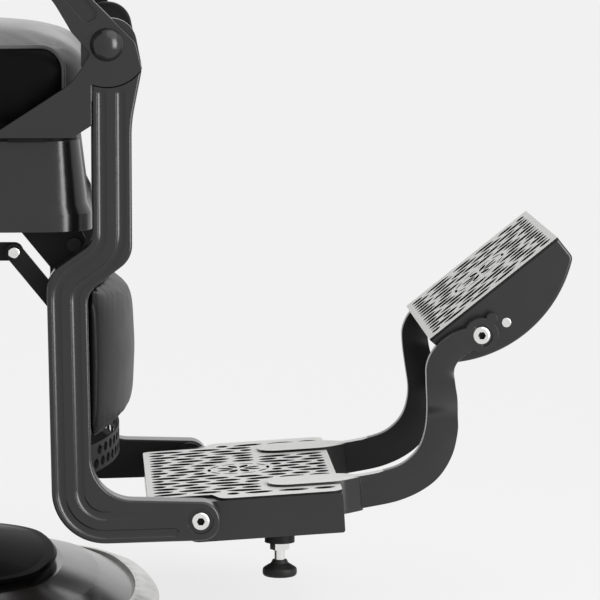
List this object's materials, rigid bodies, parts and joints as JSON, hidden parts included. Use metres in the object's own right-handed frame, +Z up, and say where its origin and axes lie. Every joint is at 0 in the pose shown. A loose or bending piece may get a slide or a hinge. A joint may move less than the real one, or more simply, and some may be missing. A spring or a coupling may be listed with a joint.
{
  "type": "barber chair",
  "caption": "Reclining barber chair on a lifting swivel post, with a padded leg rest and a pierced footplate carrying a flip-over padded rest.",
  "frame": {"origin": "middle of the base's underside, on the lift axis at floor level", "axes": "+X the way the sitter faces, +Y to the sitter's left, +Z up the lift axis"},
  "size_m": [1.218, 0.6898, 1.2598],
  "materials": {
    "base_enamel": "polished black enamel",
    "base_trim": "bright polished ring",
    "plain_steel": "satin black paint",
    "bright_steel": "ground bright",
    "painted_steel": "satin charcoal paint",
    "painted_casting": "satin charcoal paint on cast aluminium",
    "silver_grating": "silver, fine satin",
    "zinc_hardware": "zinc plated",
    "black_upholstery": "black vinyl cover over foam, low sheen",
    "black_shell": "fine-grained moulding",
    "black_rubber": "matt"
  },
  "bodies": {
    "base": {"base_plate": "base_enamel", "floor_plate": "plain_steel", "rim_ring": "base_trim", "base_collar": "base_enamel", "pump_cylinder": "plain_steel", "cylinder_gland": "bright_steel"},
    "ram_post": {"ram": "bright_steel", "swivel_bearing": "bright_steel"},
    "chair": {"swivel_hub": "painted_steel", "seat_pan": "painted_steel", "seat_box": "painted_steel", "seat_cushion": "black_upholstery", "arm_frame_right": "painted_casting", "arm_frame_left": "painted_casting", "arm_stays": "painted_steel", "arm_pad_right": "black_upholstery", "arm_pad_left": "black_upholstery", "knee_pins": "painted_casting", "knee_caps": "painted_casting", "stop_brackets": "painted_steel", "stop_bumpers": "black_rubber", "hinge_brackets": "painted_steel"},
    "leg_rest": {"leg_frame_right": "painted_casting", "leg_frame_left": "painted_casting", "link_arms": "painted_steel", "link_bolts": "zinc_hardware", "foot_hinge_bolts": "zinc_hardware", "leg_cross_tube": "painted_steel", "calf_panel": "painted_steel", "calf_pad": "black_upholstery", "leg_skirt": "painted_steel"},
    "push_bars": {"push_bar_right": "painted_steel", "push_bar_left": "painted_steel"},
    "footplate": {"foot_tray": "painted_steel", "foot_grating": "silver_grating", "flip_arm_right": "painted_casting", "flip_arm_left": "painted_casting", "flip_pivot_bolts": "zinc_hardware", "foot_sockets": "painted_steel"},
    "level_foot_right": {"level_stem_right": "zinc_hardware", "level_glide_right": "black_rubber"},
    "level_foot_left": {"level_stem_left": "zinc_hardware", "level_glide_left": "black_rubber"},
    "flip_rest": {"flip_side_right": "painted_steel", "flip_side_left": "painted_steel", "flip_grating": "silver_grating", "flip_pad": "black_upholstery", "flip_pins": "zinc_hardware"},
    "back": {"back_arm_right": "painted_steel", "back_arm_left": "painted_steel", "back_panel": "painted_steel", "back_cover": "black_shell", "back_cushion": "black_upholstery", "headrest_socket": "painted_steel"},
    "headrest": {"headrest_post": "bright_steel", "headrest_cushion": "black_upholstery"},
    "recline_handle": {"recline_lever": "painted_steel", "recline_grip": "black_rubber"},
    "lift_handle": {"lift_lever": "painted_steel", "lift_grip": "black_rubber"}
  },
  "joints": [
    {"name": "lift", "type": "slide", "parent": "base", "child": "ram_post", "axis": [0, 0, 1], "range_m": [-0.055, 0.1]},
    {"name": "swivel", "type": "hinge", "parent": "ram_post", "child": "chair", "pos_m": [0, 0, 0.478], "axis": [0, 0, 1], "continuous": true},
    {"name": "recline", "type": "hinge", "parent": "chair", "child": "back", "pos_m": [-0.215, 0, 0.575], "axis": [0, -1, 0], "range_deg": [0, 42]},
    {"name": "leg_swing", "type": "hinge", "parent": "chair", "child": "leg_rest", "pos_m": [0.285, 0, 0.666], "axis": [0, -1, 0], "range_deg": [0, 22.8]},
    {"name": "push_link", "type": "hinge", "parent": "leg_rest", "child": "push_bars", "pos_m": [0.181, 0, 0.4335], "axis": [0, 1, 0], "range_deg": [0, 28.7]},
    {"name": "footplate_fold", "type": "hinge", "parent": "leg_rest", "child": "footplate", "pos_m": [0.387, 0, 0.134], "axis": [0, -1, 0], "range_deg": [0, 50]},
    {"name": "flip_over", "type": "hinge", "parent": "footplate", "child": "flip_rest", "pos_m": [0.7074, 0, 0.3328], "axis": [0, -1, 0], "range_deg": [0, 145]},
    {"name": "level_right", "type": "slide", "parent": "footplate", "child": "level_foot_right", "axis": [0, 0, 1], "range_m": [-0.012, 0]},
    {"name": "level_left", "type": "slide", "parent": "footplate", "child": "level_foot_left", "axis": [0, 0, 1], "range_m": [-0.012, 0]},
    {"name": "headrest_slide", "type": "slide", "parent": "back", "child": "headrest", "axis": [-0.2079, 0, 0.9781], "range_m": [0, 0.08]},
    {"name": "recline_pull", "type": "hinge", "parent": "chair", "child": "recline_handle", "pos_m": [-0.06, -0.227, 0.512], "axis": [0, 1, 0], "range_deg": [0, 25], "stiffness_Nm_per_rad": 1.5},
    {"name": "lift_pull", "type": "hinge", "parent": "chair", "child": "lift_handle", "pos_m": [-0.06, 0.227, 0.512], "axis": [0, 1, 0], "range_deg": [0, 25], "stiffness_Nm_per_rad": 1.5}
  ],
  "couplings": [
    {"joint": "leg_swing", "follows": "recline", "ratio": 0.542},
    {"joint": "push_link", "follows": "recline", "ratio": 0.683}
  ]
}
